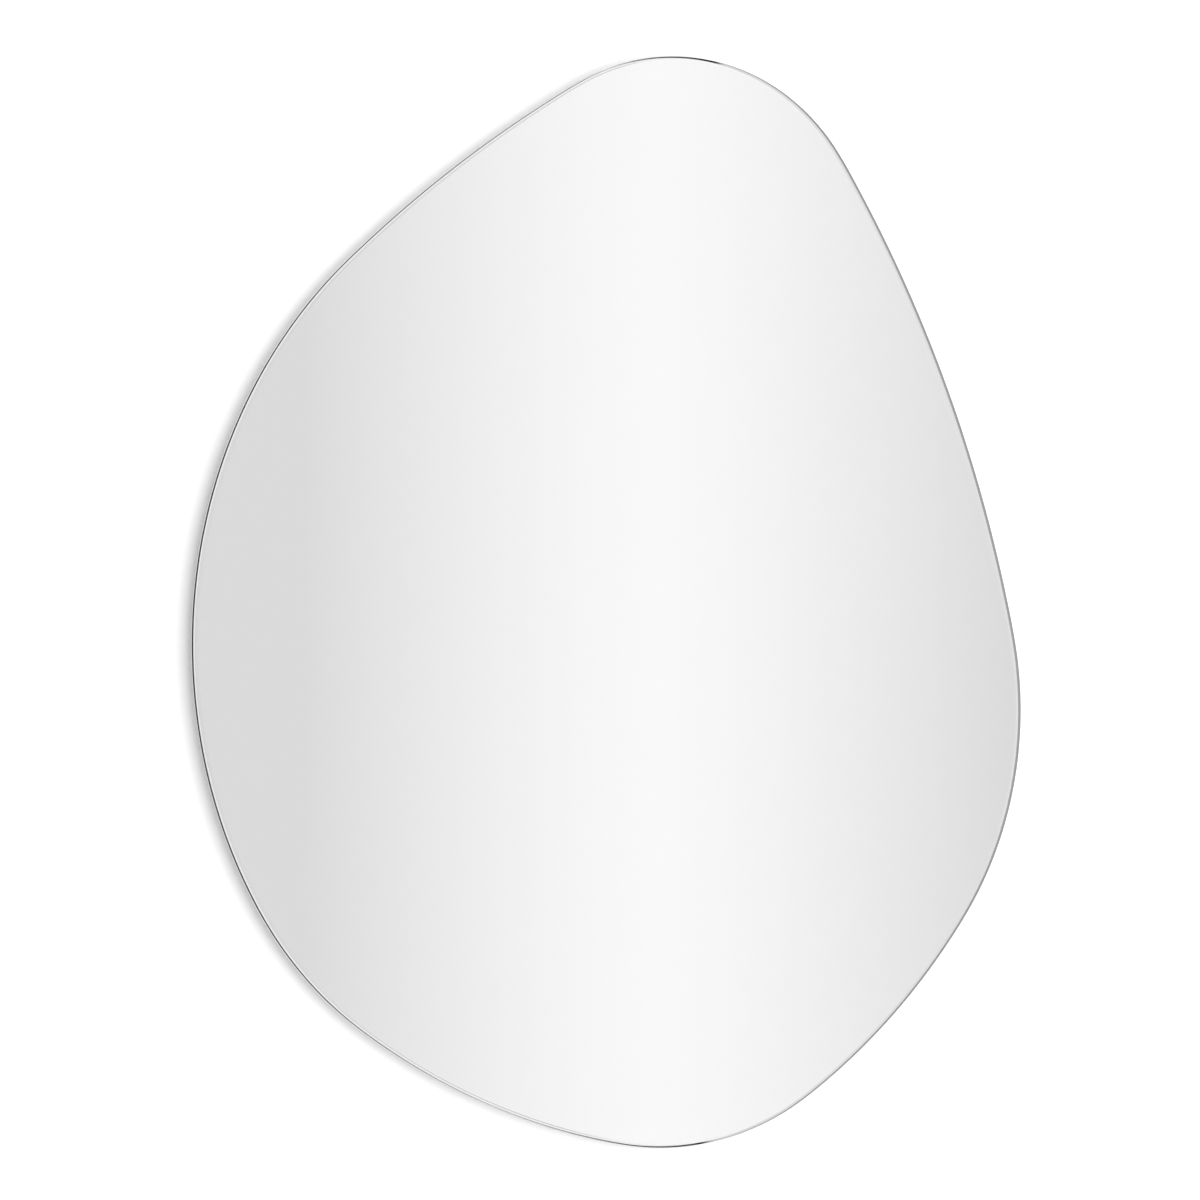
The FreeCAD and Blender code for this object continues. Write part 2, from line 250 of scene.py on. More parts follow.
def sweep(bm, profile, sharp=(), line=outline):
    """Adds the strips of a profile carried round a closed line. Returns the loops and the strips."""
    loops = []
    for inset, y in profile:
        loops.append([bm.verts.new((p.x - n.x * inset, y, p.y - n.y * inset)) for p, n in line])
    strips = []
    for first, second in zip(loops, loops[1:]):
        strip = []
        for i in range(len(line)):
            face = bm.faces.new((first[i - 1], first[i], second[i], second[i - 1]))
            face.smooth = True
            strip.append(face)
        strips.append(strip)
    for number in sharp:
        loop = loops[number]
        for i in range(len(loop)):
            bm.edges.get((loop[i - 1], loop[i])).smooth = False
    return loops, strips


def inset_at(node, y):
    """How far a node's outline at one Y lies inside the glass's."""
    corners = [v.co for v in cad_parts[node].data.vertices]
    return min(c.x for c in corners if abs(c.y - y) < SAME_LEVEL) - glass_low.x


# %% [markdown]
# ## Float glass
# Float glass is poured on molten tin, so both faces are flat and bright without polishing. Very slight
# waves in it come from drawing the ribbon. Clear soda-lime glass has an IOR of 1.52. Two choices were open:
# one material that is already a mirror, or real glass with a metal layer behind it. The second is used,
# because only then do the edges show what real edges show: a dark line where one looks through the glass at
# its ground rim, and a bevel that bends the view far round the room. That dark line is partly real and
# partly painted shade, which the rim's material gives its inside.

# %% Material: float glass, fire-polished faces
FLOAT_GLASS_TINT = "#FDFDFD"
SODA_LIME_IOR = 1.52
GLASS_HAZE = 0.02  # the highest roughness of a fire-polished face
DRAW_WAVE_LENGTH = 80 * MM
DRAW_WAVE_HEIGHT = 0.002 * MM
HAZE_PATCH = 35 * MM

float_glass, tree = new_material("float_glass_fire_polished")
place = add(tree, "ShaderNodeTexCoord")
waves = add(tree, "ShaderNodeTexNoise", {
    "Vector": place.outputs["Object"], "Scale": 1 / DRAW_WAVE_LENGTH, "Detail": 1.0})
wave_bump = add(tree, "ShaderNodeBump", {
    "Height": waves.outputs[0], "Strength": 1.0, "Distance": DRAW_WAVE_HEIGHT})
haze = add(tree, "ShaderNodeTexNoise", {
    "Vector": place.outputs["Object"], "Scale": 1 / HAZE_PATCH, "Detail": 3.0})
haze_range = add(tree, "ShaderNodeMapRange", {"Value": haze.outputs[0], "To Min": 0.0, "To Max": GLASS_HAZE})
glass_shader = add(tree, "ShaderNodeBsdfPrincipled", {
    "Base Color": linear(FLOAT_GLASS_TINT), "Roughness": haze_range.outputs[0], "IOR": SODA_LIME_IOR,
    "Transmission Weight": 1.0, "Normal": wave_bump.outputs[0]})
finish_material(tree, glass_shader)
print("material", float_glass.name)

# %% [markdown]
# ## The ground rim
# The rim is ground with a diamond wheel and only lightly polished, so it is satin grey: fine scratches run
# along it and scatter the light. From outside it looks like smooth grey stone. From inside the glass a ground
# rim looks darker, because it lets most of the light out, and here that darkness is made deeper with painted
# shade: the inside gets a much darker copy of the rim's colour. The material tells the two sides apart with
# Geometry's Backfacing, which is 1 on the inside of a closed solid.

# %% Material: glass rim, diamond-ground and lightly polished, with painted shade on its inside
GROUND_OUTSIDE = "#939494"
# painted shade: the darker colour the rim gets where it is seen from inside the glass
RIM_INSIDE_PAINTED_SHADE = "#303131"
WHEEL_MARK_WIDTH = 0.12 * MM
WHEEL_MARK_LENGTH = 12 * MM
WHEEL_MARK_DEPTH = 0.004 * MM
WHEEL_MARK_TONE = (0.9, 1.1)
RIM_ROUGHNESS = (0.38, 0.55)

ground_rim, tree = new_material("glass_rim_diamond_ground")
place = add(tree, "ShaderNodeTexCoord")
stretch = add(tree, "ShaderNodeMapping", {
    "Vector": place.outputs["Object"],
    "Scale": (1 / WHEEL_MARK_LENGTH, 1 / WHEEL_MARK_WIDTH, 1 / WHEEL_MARK_LENGTH)})
marks = add(tree, "ShaderNodeTexNoise", {"Vector": stretch.outputs[0], "Scale": 1.0, "Detail": 4.0})
side = add(tree, "ShaderNodeNewGeometry")
# painted shade: Backfacing picks the darker inside colour, so the rim seen through the glass is painted dark
tone = add(tree, "ShaderNodeMix", {
    0: side.outputs["Backfacing"], 6: linear(GROUND_OUTSIDE), 7: linear(RIM_INSIDE_PAINTED_SHADE)}, data_type="RGBA")
mark_tone = add(tree, "ShaderNodeMapRange", {
    "Value": marks.outputs[0], "To Min": WHEEL_MARK_TONE[0], "To Max": WHEEL_MARK_TONE[1]})
streaked = add(tree, "ShaderNodeVectorMath", {
    0: tone.outputs[2], 1: mark_tone.outputs[0]}, operation="MULTIPLY")
shine = add(tree, "ShaderNodeMapRange", {
    "Value": marks.outputs[0], "To Min": RIM_ROUGHNESS[0], "To Max": RIM_ROUGHNESS[1]})
mark_bump = add(tree, "ShaderNodeBump", {
    "Height": marks.outputs[0], "Strength": 1.0, "Distance": WHEEL_MARK_DEPTH})
rim_shader = add(tree, "ShaderNodeBsdfPrincipled", {
    "Base Color": streaked.outputs[0], "Roughness": shine.outputs[0], "IOR": SODA_LIME_IOR,
    "Normal": mark_bump.outputs[0]})
finish_material(tree, rim_shader)
print("material", ground_rim.name)

# %% [markdown]
# ## The glass pane
# The pane is cut and its rim is ground square. Both its edges get an arris, a 45 degree bevel that takes
# off the sharpness: a fine ground one at the back, and a wider one in front that is polished like the face.
# The frame has both, so their sizes are read from it. The front arris keeps crisp edges and bright glass.
# The strips behind it are ground, and the two faces close the sweep.

# %% Build the glass pane
GRINDING_ROUNDING = 0.15 * MM

bm = bmesh.new()
pane_corners = [(front_arris, glass_front), (0, edge_front), (0, edge_back), (back_arris, glass_back)]
pane_profile = rounded(pane_corners, GRINDING_ROUNDING)
loops, strips = sweep(bm, pane_profile, sharp=(0, 1, -1))
for strip in strips[1:]:
    for face in strip:
        face.material_index = 1
for loop in (loops[0], loops[-1]):
    bm.faces.new(loop)
pane = link_mesh("float_glass_pane", bm, [float_glass, ground_rim])
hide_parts("glass_pane")
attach(pane, "mirror")
print("pane faces", len(pane.data.polygons))

# %% [markdown]
# ## Silver and grey paint
# On the back of the glass lies a layer of silver, a thin copper layer and a coat of grey paint that keeps
# damp away from them. Silver reflects about 96 % of the light, without a tint that one could name. Cycles
# needs a hair of air between two separate solids, because two surfaces in one place show as noise. So the
# coating starts 0.02 mm behind the glass. It stops a little short of the rim, so that grinding can't chip
# it.

# %% Materials: silvering and its protective paint
SILVER_COLOUR = "#FBFBFB"
SILVER_HAZE = 0.012
PAINT_DARK = "#7F8587"
PAINT_LIGHT = "#8D9395"
PAINT_GRAIN = 0.6 * MM

silvering, tree = new_material("silver_wet_deposited")
place = add(tree, "ShaderNodeTexCoord")
cloud = add(tree, "ShaderNodeTexNoise", {
    "Vector": place.outputs["Object"], "Scale": 1 / HAZE_PATCH, "Detail": 2.0})
cloud_range = add(tree, "ShaderNodeMapRange", {
    "Value": cloud.outputs[0], "To Min": 0.0, "To Max": SILVER_HAZE})
silver_shader = add(tree, "ShaderNodeBsdfPrincipled", {
    "Base Color": linear(SILVER_COLOUR), "Metallic": 1.0, "Roughness": cloud_range.outputs[0]})
finish_material(tree, silver_shader)

mirror_paint, tree = new_material("mirror_back_paint_curtain_coated")
place = add(tree, "ShaderNodeTexCoord")
grain = add(tree, "ShaderNodeTexNoise", {
    "Vector": place.outputs["Object"], "Scale": 1 / PAINT_GRAIN, "Detail": 3.0})
paint_tone = add(tree, "ShaderNodeMix", {
    0: grain.outputs[0], 6: linear(PAINT_DARK), 7: linear(PAINT_LIGHT)}, data_type="RGBA")
paint_bump = add(tree, "ShaderNodeBump", {"Height": grain.outputs[0], "Strength": 0.3, "Distance": 0.02 * MM})
paint_shader = add(tree, "ShaderNodeBsdfPrincipled", {
    "Base Color": paint_tone.outputs[2], "Roughness": 0.45, "Normal": paint_bump.outputs[0]})
finish_material(tree, paint_shader)
print("materials", silvering.name, mirror_paint.name)

# %% Build the silver coating
AIR_GAP = 0.02 * MM

coating_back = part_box("silver_coating")[1].y
coating_inset = inset_at("silver_coating", coating_back)
bm = bmesh.new()
coating_profile = [(coating_inset, glass_back + AIR_GAP), (coating_inset, coating_back)]
loops, strips = sweep(bm, coating_profile, sharp=(0, 1))
for face in strips[0]:
    face.material_index = 1
bm.faces.new(loops[0])
bm.faces.new(loops[-1]).material_index = 1
coating = link_mesh("silver_layer", bm, [silvering, mirror_paint])
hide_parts("silver_coating")
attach(coating, "mirror")
print("coating inset and thickness in mm", round(coating_inset / MM, 2),
      round((coating_back - glass_back) / MM, 2))

# %% [markdown]
# ## The safety film
# A polyethylene film is stuck over the paint, so that broken glass stays together. It is woven through with
# a scrim of thin threads, about 6 mm apart, which shows as a raised grid. Two wave textures make the grid:
# bands across and bands along, with the higher of the two kept.

# %% Material: polyethylene film with a scrim
SCRIM_SPACING = 6 * MM
SCRIM_HEIGHT = 0.06 * MM
THREAD_EDGE = 0.86  # a band's height from which it counts as thread
CRINKLE_SIZE = 18 * MM
CRINKLE_SHARE = 1.5  # of the scrim's height
FILM_COLOUR = "#C4C8CA"
THREAD_COLOUR = "#E2E4E4"
POLYETHYLENE_IOR = 1.51
WAVES_PER_UNIT = math.pi / 10  # a wave texture of scale 1 repeats after pi / 10

film_finish, tree = new_material("polyethylene_film_with_scrim")
place = add(tree, "ShaderNodeTexCoord")
threads = []
for direction in ("X", "Z"):
    band = add(tree, "ShaderNodeTexWave", {
        "Vector": place.outputs["Object"], "Scale": WAVES_PER_UNIT / SCRIM_SPACING,
        "Distortion": 0.15, "Detail Scale": 2.0}, bands_direction=direction)
    threads.append(add(tree, "ShaderNodeMapRange", {
        "Value": band.outputs["Fac"], "From Min": THREAD_EDGE, "From Max": 1.0}))
scrim = add(tree, "ShaderNodeMath", {0: threads[0].outputs[0], 1: threads[1].outputs[0]}, operation="MAXIMUM")
crinkle = add(tree, "ShaderNodeTexNoise", {
    "Vector": place.outputs["Object"], "Scale": 1 / CRINKLE_SIZE, "Detail": 4.0})
film_tone = add(tree, "ShaderNodeMix", {
    0: scrim.outputs[0], 6: linear(FILM_COLOUR), 7: linear(THREAD_COLOUR)}, data_type="RGBA")
height = add(tree, "ShaderNodeMath", {
    0: crinkle.outputs[0], 1: CRINKLE_SHARE, 2: scrim.outputs[0]}, operation="MULTIPLY_ADD")
film_bump = add(tree, "ShaderNodeBump", {
    "Height": height.outputs[0], "Strength": 1.0, "Distance": SCRIM_HEIGHT})
film_rough = add(tree, "ShaderNodeMapRange", {"Value": crinkle.outputs[0], "To Min": 0.3, "To Max": 0.5})
film_shader = add(tree, "ShaderNodeBsdfPrincipled", {
    "Base Color": film_tone.outputs[2], "Roughness": film_rough.outputs[0], "IOR": POLYETHYLENE_IOR,
    "Normal": film_bump.outputs[0]})
finish_material(tree, film_shader)
print("material", film_finish.name)

# %% Build the film
film_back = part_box("safety_film")[1].y
film_inset = inset_at("safety_film", film_back)
bm = bmesh.new()
loops, strips = sweep(bm, [(film_inset, coating_back), (film_inset, film_back)], sharp=(0, 1))
for loop in loops:
    bm.faces.new(loop)
film = link_mesh("shatter_film", bm, [film_finish])
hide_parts("safety_film")
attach(film, "mirror")
print("film inset in mm", round(film_inset / MM, 2))

# %% [markdown]
# ## The MDF board
# Medium-density fibreboard is wood fibre pressed with resin. Its faces are sanded: smooth, light brown,
# with short fibres. Its rim is routed, which opens the softer core, so it is rougher and a shade darker.
# The colour comes from stretched noises, one for each of four directions of the fibres, and from a broad
# one for slow changes in tone. With only two directions, at right angles, the board would look woven.

# %% Materials: MDF face and MDF rim
FIBRE_WIDTH = 0.35 * MM
FIBRE_LENGTH = 2.2 * MM
FIBRE_TURNS = (8, 57, 101, 146)  # degrees about Y
TONE_PATCH = 45 * MM
TONE_PATCH_SHARE = 0.15
TONE_RANGE = (0.5, 0.85)


def fibreboard(name, light, dark, roughness, fuzz):
    """Fibreboard: fibres lie in all directions of the board, so stretched noises cross at uneven angles."""
    material, tree = new_material(name)
    place = add(tree, "ShaderNodeTexCoord")
    highest = 0.0
    for turn in FIBRE_TURNS:
        stretch = add(tree, "ShaderNodeMapping", {
            "Vector": place.outputs["Object"], "Rotation": (0, math.radians(turn), 0),
            "Scale": (FIBRE_LENGTH, FIBRE_WIDTH, FIBRE_WIDTH)}, vector_type="TEXTURE")
        fibres = add(tree, "ShaderNodeTexNoise", {"Vector": stretch.outputs[0], "Scale": 1.0, "Detail": 3.0})
        highest = add(tree, "ShaderNodeMath", {
            0: fibres.outputs[0], 1: highest}, operation="MAXIMUM").outputs[0]
    patches = add(tree, "ShaderNodeTexNoise", {
        "Vector": place.outputs["Object"], "Scale": 1 / TONE_PATCH, "Detail": 2.0})
    mixed = add(tree, "ShaderNodeMath", {
        0: patches.outputs[0], 1: TONE_PATCH_SHARE, 2: highest}, operation="MULTIPLY_ADD")
    amount = add(tree, "ShaderNodeMapRange", {
        "Value": mixed.outputs[0], "From Min": TONE_RANGE[0], "From Max": TONE_RANGE[1]})
    tone = add(tree, "ShaderNodeMix", {
        0: amount.outputs[0], 6: linear(dark), 7: linear(light)}, data_type="RGBA")
    bump = add(tree, "ShaderNodeBump", {"Height": highest, "Strength": 1.0, "Distance": fuzz})
    shader = add(tree, "ShaderNodeBsdfPrincipled", {
        "Base Color": tone.outputs[2], "Roughness": roughness, "Normal": bump.outputs[0]})
    finish_material(tree, shader)
    return material


mdf_face = fibreboard("mdf_face_sanded", "#C6A884", "#9F7F5B", 0.7, 0.06 * MM)
mdf_rim = fibreboard("mdf_rim_routed", "#AE8F6A", "#886A48", 0.85, 0.18 * MM)
print("materials", mdf_face.name, mdf_rim.name)

# %% [markdown]
# The board has a chamfered back rim and four pilot holes, which keep the screws from splitting it. Each
# screw's place is read from the frame's screws, and the hole's size from the frame's board. The back face
# is an outline with four holes in it: triangle_fill closes such a set of loops and leaves the holes open.

# %% Build the board
ROUTER_ROUNDING = 0.5 * MM
HOLE_CORNERS = 24
HOLE_REACH = 3 * MM  # corners this close to a screw's axis belong to its hole


def screw_centres(node):
    """The x and z of both screws in a node, the lower one first."""
    low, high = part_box(node)
    middle = (low.z + high.z) / 2
    places = []
    for wanted in (False, True):
        part = [v.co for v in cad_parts[node].data.vertices if (v.co.z > middle) == wanted]
        places.append(Vector(((low.x + high.x) / 2, (min(c.z for c in part) + max(c.z for c in part)) / 2)))
    return places


def circle(bm, centre, radius, y, steps):
    """Adds a ring of corners round a line along Y."""
    ring_corners = []
    for k in range(steps):
        turn = 2 * math.pi * k / steps
        ring_corners.append(bm.verts.new((
            centre.x + radius * math.cos(turn), y, centre.y + radius * math.sin(turn))))
    return ring_corners


board_low, board_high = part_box("backing_board")
board_corners = [v.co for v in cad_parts["backing_board"].data.vertices]
screw_places = screw_centres("hanger_screws_left") + screw_centres("hanger_screws_right")
first_hole = [c for c in board_corners if (Vector((c.x, c.z)) - screw_places[0]).length < HOLE_REACH]
hole_radius = max((Vector((c.x, c.z)) - screw_places[0]).length for c in first_hole)
hole_bottom = min(c.y for c in first_hole)
board_inset = inset_at("backing_board", board_low.y)
board_chamfer = inset_at("backing_board", board_high.y) - board_inset

bm = bmesh.new()
board_profile = rounded([(board_inset, board_low.y), (board_inset, board_high.y - board_chamfer),
                         (board_inset + board_chamfer, board_high.y)], ROUTER_ROUNDING)
loops, strips = sweep(bm, board_profile, sharp=(0, -1))
for strip in strips:
    for face in strip:
        face.material_index = 1
bm.faces.new(loops[0])
back_edges = [bm.edges.get((loops[-1][i - 1], loops[-1][i])) for i in range(len(outline))]
for place in screw_places:
    rings = [circle(bm, place, hole_radius, y, HOLE_CORNERS) for y in (board_high.y, hole_bottom)]
    for i in range(HOLE_CORNERS):
        wall = bm.faces.new((rings[0][i - 1], rings[0][i], rings[1][i], rings[1][i - 1]))
        wall.smooth = True
        wall.material_index = 1
        back_edges.append(bm.edges.get((rings[0][i - 1], rings[0][i])))
    bm.faces.new(rings[1]).material_index = 1
bmesh.ops.triangle_fill(bm, use_beauty=True, edges=back_edges)
board = link_mesh("fibreboard_back", bm, [mdf_face, mdf_rim])
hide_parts("backing_board")
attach(board, "mirror")
print("board inset and chamfer in mm", round(board_inset / MM, 2), round(board_chamfer / MM, 2),
      "hole radius", round(hole_radius / MM, 2))

# %% [markdown]
# ## Foam tape and adhesive
# Between film and board lie double-sided foam tapes, which hold the glass at once, and beads of mirror
# adhesive, which hold it for good. Only a 1 mm gap shows them, from the side. Tape is cut square and its
# foam draws in a little between its two sticky faces. A bead is paste that was pressed flat, so its sides
# bulge. Both follow the outline of the frame's own pieces, moved in or out along a mitre at each corner.

# %% Materials: polyethylene foam and mirror adhesive
FOAM_CELL = 0.35 * MM
FOAM_LIGHT = "#F1F0EB"
FOAM_DARK = "#D5D3CB"
PASTE_RIPPLE = 4 * MM
PASTE_DARK = "#E9E7E0"
PASTE_LIGHT = "#F6F5F1"

foam, tree = new_material("polyethylene_foam_closed_cell")
place = add(tree, "ShaderNodeTexCoord")
cells = add(tree, "ShaderNodeTexVoronoi", {"Vector": place.outputs["Object"], "Scale": 1 / FOAM_CELL})
foam_tone = add(tree, "ShaderNodeMix", {
    0: cells.outputs["Distance"], 6: linear(FOAM_LIGHT), 7: linear(FOAM_DARK)}, data_type="RGBA")
foam_bump = add(tree, "ShaderNodeBump", {
    "Height": cells.outputs["Distance"], "Distance": 0.1 * MM}, invert=True)
foam_shader = add(tree, "ShaderNodeBsdfPrincipled", {
    "Base Color": foam_tone.outputs[2], "Roughness": 0.8, "IOR": POLYETHYLENE_IOR,
    "Normal": foam_bump.outputs[0]})
finish_material(tree, foam_shader)

adhesive, tree = new_material("ms_polymer_adhesive_pressed")
place = add(tree, "ShaderNodeTexCoord")
ripple = add(tree, "ShaderNodeTexNoise", {
    "Vector": place.outputs["Object"], "Scale": 1 / PASTE_RIPPLE, "Detail": 2.0})
paste_tone = add(tree, "ShaderNodeMix", {
    0: ripple.outputs[0], 6: linear(PASTE_DARK), 7: linear(PASTE_LIGHT)}, data_type="RGBA")
paste_bump = add(tree, "ShaderNodeBump", {"Height": ripple.outputs[0], "Distance": 0.3 * MM})
paste_shader = add(tree, "ShaderNodeBsdfPrincipled", {
    "Base Color": paste_tone.outputs[2], "Roughness": 0.38, "IOR": 1.45, "Normal": paste_bump.outputs[0]})
finish_material(tree, paste_shader)
print("materials", foam.name, adhesive.name)

# %% Build the tapes and the beads
FOAM_WAIST = 0.2 * MM
PASTE_BULGE = 0.45 * MM
AT_A_QUARTER = 0.75  # the share of a waist or bulge that is reached a quarter of the way across the gap


def mitred(points):
    """Each corner of a closed line with the vector that moves it out by one unit along both its sides."""
    line = []
    for i, point in enumerate(points):
        before = (point - points[i - 1]).normalized()
        after = (points[(i + 1) % len(points)] - point).normalized()
        first, second = Vector((before.y, -before.x)), Vector((after.y, -after.x))
        line.append((point, (first + second) / (1 + first.dot(second))))
    return line


def bonded(name, node, material, sides):
    """A flat piece between film and board, whose sides follow a list of insets from front to back."""
    low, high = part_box(node)
    bm = bmesh.new()
    depths = [low.y + (high.y - low.y) * k / (len(sides) - 1) for k in range(len(sides))]
    loops, strips = sweep(bm, list(zip(sides, depths)), sharp=(0, -1), line=mitred(ring(node, low.y)))
    bm.faces.new(loops[0])
    bm.faces.new(loops[-1])
    piece = link_mesh(name, bm, [material])
    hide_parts(node)
    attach(piece, "mirror")


tapes = sorted(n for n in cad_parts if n.startswith("foam_tape"))
beads = sorted(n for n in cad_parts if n.startswith("adhesive_bead"))
for number, node in enumerate(tapes, 1):
    bonded(f"tape_strip_{number}", node, foam,
           [0, FOAM_WAIST * AT_A_QUARTER, FOAM_WAIST, FOAM_WAIST * AT_A_QUARTER, 0])
for number, node in enumerate(beads, 1):
    bonded(f"glue_bead_{number}", node, adhesive,
           [PASTE_BULGE, PASTE_BULGE * (1 - AT_A_QUARTER), 0, PASTE_BULGE * (1 - AT_A_QUARTER), PASTE_BULGE])
print(len(tapes), "tapes and", len(beads), "beads")

# %% [markdown]
# ## Rubber bumpers
# Four moulded bumpers hold the board off the wall. The mould gives them a skin with a fine matt grain, a
# rounded rim and a shallow dish in the face, so that the rim grips first. A bumper is round, so it is
# turned: a profile of (radius, depth) points is carried round its axis. Its radii and depths come from the
# frame's bumper.

# %% Material: moulded rubber
RUBBER_GRAIN = 0.4 * MM
BLOOM_PATCH = 5 * MM
RUBBER_DARK = "#1B1B1C"
RUBBER_BLOOM = "#2E2E30"

rubber, tree = new_material("epdm_rubber_moulded")
place = add(tree, "ShaderNodeTexCoord")
skin = add(tree, "ShaderNodeTexNoise", {
    "Vector": place.outputs["Object"], "Scale": 1 / RUBBER_GRAIN, "Detail": 3.0})
bloom = add(tree, "ShaderNodeTexNoise", {
    "Vector": place.outputs["Object"], "Scale": 1 / BLOOM_PATCH, "Detail": 2.0})
rubber_tone = add(tree, "ShaderNodeMix", {
    0: bloom.outputs[0], 6: linear(RUBBER_DARK), 7: linear(RUBBER_BLOOM)}, data_type="RGBA")
rubber_bump = add(tree, "ShaderNodeBump", {"Height": skin.outputs[0], "Strength": 0.6, "Distance": 0.05 * MM})
rubber_rough = add(tree, "ShaderNodeMapRange", {"Value": bloom.outputs[0], "To Min": 0.5, "To Max": 0.72})
rubber_shader = add(tree, "ShaderNodeBsdfPrincipled", {
    "Base Color": rubber_tone.outputs[2], "Roughness": rubber_rough.outputs[0],
    "Normal": rubber_bump.outputs[0]})
finish_material(tree, rubber_shader)
print("material", rubber.name)

# %% Build the bumpers
TURNED_STEPS = 64
SAME_RADIUS = 1e-5  # corners closer than this to the radius lie on it, in metres
DISH_DEPTH = 0.5 * MM
DISH_SHARES = (0.72, 0.6, 0.3)  # of the face's radius: the dish's rim, its foot, and a point on its floor
BASE_SHARE = 0.5  # of the radius: a point on the flat base
MOULD_ROUNDING = 0.8 * MM
MOULD_PIECES = 5


def turned(bm, centre, profile, steps=TURNED_STEPS):
    """Adds a solid turned about a line along Y. The profile of (radius, y) starts and ends at radius 0."""
    first, last = (bm.verts.new((centre.x, y, centre.y)) for _, y in (profile[0], profile[-1]))
    rings = [circle(bm, centre, radius, y, steps) for radius, y in profile[1:-1]]
    for i in range(steps):
        bm.faces.new((first, rings[0][i - 1], rings[0][i])).smooth = True
        bm.faces.new((last, rings[-1][i], rings[-1][i - 1])).smooth = True
        for near, far in zip(rings, rings[1:]):
            bm.faces.new((near[i - 1], far[i - 1], far[i], near[i])).smooth = True


bumpers = sorted(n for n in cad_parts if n.startswith("bumper"))
for node in bumpers:
    low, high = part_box(node)
    centre = Vector((low.x + high.x, low.z + high.z)) / 2
    radius = (high.x - low.x) / 2
    corners = [v.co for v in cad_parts[node].data.vertices]
    spans = [((Vector((c.x, c.z)) - centre).length, c.y) for c in corners]
    face_radius = max(span for span, y in spans if abs(y - high.y) < SAME_LEVEL)
    rim_depth = max(y for span, y in spans if span > radius - SAME_RADIUS)
    dish_rim, dish_foot, dish_floor = (face_radius * share for share in DISH_SHARES)
    dish_bottom = high.y - DISH_DEPTH
    skin_corners = [(radius * BASE_SHARE, low.y), (radius, low.y), (radius, rim_depth), (face_radius, high.y),
                    (dish_rim, high.y), (dish_foot, dish_bottom), (dish_floor, dish_bottom)]
    profile = [(0, low.y)] + rounded(skin_corners, MOULD_ROUNDING, MOULD_PIECES) + [(0, dish_bottom)]
    bm = bmesh.new()
    turned(bm, centre, profile)
    piece = link_mesh(node.replace("bumper", "rubber_foot"), bm, [rubber])
    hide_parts(node)
    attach(piece, "mirror")
print(len(bumpers), "bumpers, radius and face radius in mm", round(radius / MM, 2),
      round(face_radius / MM, 2))

# %% [markdown]
# ## Hangers
# Each hanger is a steel strap folded round the straight side of a wire ring, with two pan-head screws. All
# of it is zinc-plated: a bluish grey metal, neither mirror-bright nor matt. Rolled sheet keeps faint lines
# along the strip, drawn wire has them along the wire, and plated screws have tumbled marks in all
# directions. The frame's solids already have the folds, the rounded corners and the cross slots, so they
# stay, and get their finish here.

# %% Materials: zinc-plated sheet, wire and screws
ZINC_CLOUD = 4 * MM
ZINC_LIGHT = "#DADDDD"
SCRATCH_SHARE = 0.6  # how much the scratches count in the roughness, beside the clouds
MIXED_RANGE = (0.5, 1.1)
TUMBLED_MARK = 0.4 * MM


def zinc_plated(name, mark, colour, smooth, rough):
    """Bright zinc with a passivated tint. mark is the size of its scratches along x, y and z."""
    material, tree = new_material(name)
    place = add(tree, "ShaderNodeTexCoord")
    stretch = add(tree, "ShaderNodeMapping", {
        "Vector": place.outputs["Object"], "Scale": [1 / m for m in mark]})
    lines = add(tree, "ShaderNodeTexNoise", {"Vector": stretch.outputs[0], "Scale": 1.0, "Detail": 3.0})
    clouds = add(tree, "ShaderNodeTexNoise", {
        "Vector": place.outputs["Object"], "Scale": 1 / ZINC_CLOUD, "Detail": 3.0})
    tone = add(tree, "ShaderNodeMix", {
        0: clouds.outputs[0], 6: linear(colour), 7: linear(ZINC_LIGHT)}, data_type="RGBA")
    mixed = add(tree, "ShaderNodeMath", {
        0: lines.outputs[0], 1: SCRATCH_SHARE, 2: clouds.outputs[0]}, operation="MULTIPLY_ADD")
    gloss = add(tree, "ShaderNodeMapRange", {
        "Value": mixed.outputs[0], "From Min": MIXED_RANGE[0], "From Max": MIXED_RANGE[1],
        "To Min": smooth, "To Max": rough})
    bump = add(tree, "ShaderNodeBump", {"Height": lines.outputs[0], "Strength": 0.5, "Distance": 0.01 * MM})
    shader = add(tree, "ShaderNodeBsdfPrincipled", {
        "Base Color": tone.outputs[2], "Metallic": 1.0, "Roughness": gloss.outputs[0],
        "Normal": bump.outputs[0]})
    finish_material(tree, shader)
    return material


zinc_sheet = zinc_plated("steel_sheet_rolled_zinc_plated", (0.15 * MM, 1 * MM, 9 * MM), "#BFC4CA", 0.26, 0.4)
zinc_wire = zinc_plated("steel_wire_drawn_zinc_plated", (2 * MM, 0.3 * MM, 0.3 * MM), "#C6CACF", 0.2, 0.32)
zinc_screw = zinc_plated("steel_screw_tumbled_zinc_plated", (TUMBLED_MARK,) * 3, "#BCC3CC", 0.24, 0.38)

for start, material, slot in (
        ("hanger_strap", zinc_sheet, "zinc_plated_strap"),
        ("hanger_ring", zinc_wire, "ring_wire"),
        ("hanger_screws", zinc_screw, "zinc_plated_screws")):
    for node in sorted(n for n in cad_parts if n.startswith(start)):
        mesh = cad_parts[node].data
        mesh.materials.clear()
        mesh.materials.append(material)
        print(node, len(mesh.polygons), "faces, smooth", sum(p.use_smooth for p in mesh.polygons))

# %% [markdown]
# ## The wall
# The mirror hangs on a plain white wall, and the only thing the wall shows is the mirror's soft shadow. The
# wall is a backdrop, so it is marked as stage. Two things keep it out of the way in other views: its back
# side is clear, so the mirror can be seen from behind, and it blocks no light for the back. Part of its
# white is a glow of its own, which stands for the light that a whole white room would throw back on it.

# %% Wall
WALL_HALF_WIDTH = 3.0
WALL_BEHIND = 0.2 * MM
WALL_GLOW = 0.14
WALL_WHITE = "#F9F9F9"
WALL_IN_GLASS = "#F2F2F2"  # the wall's look in reflections and through the clear strip of the glass

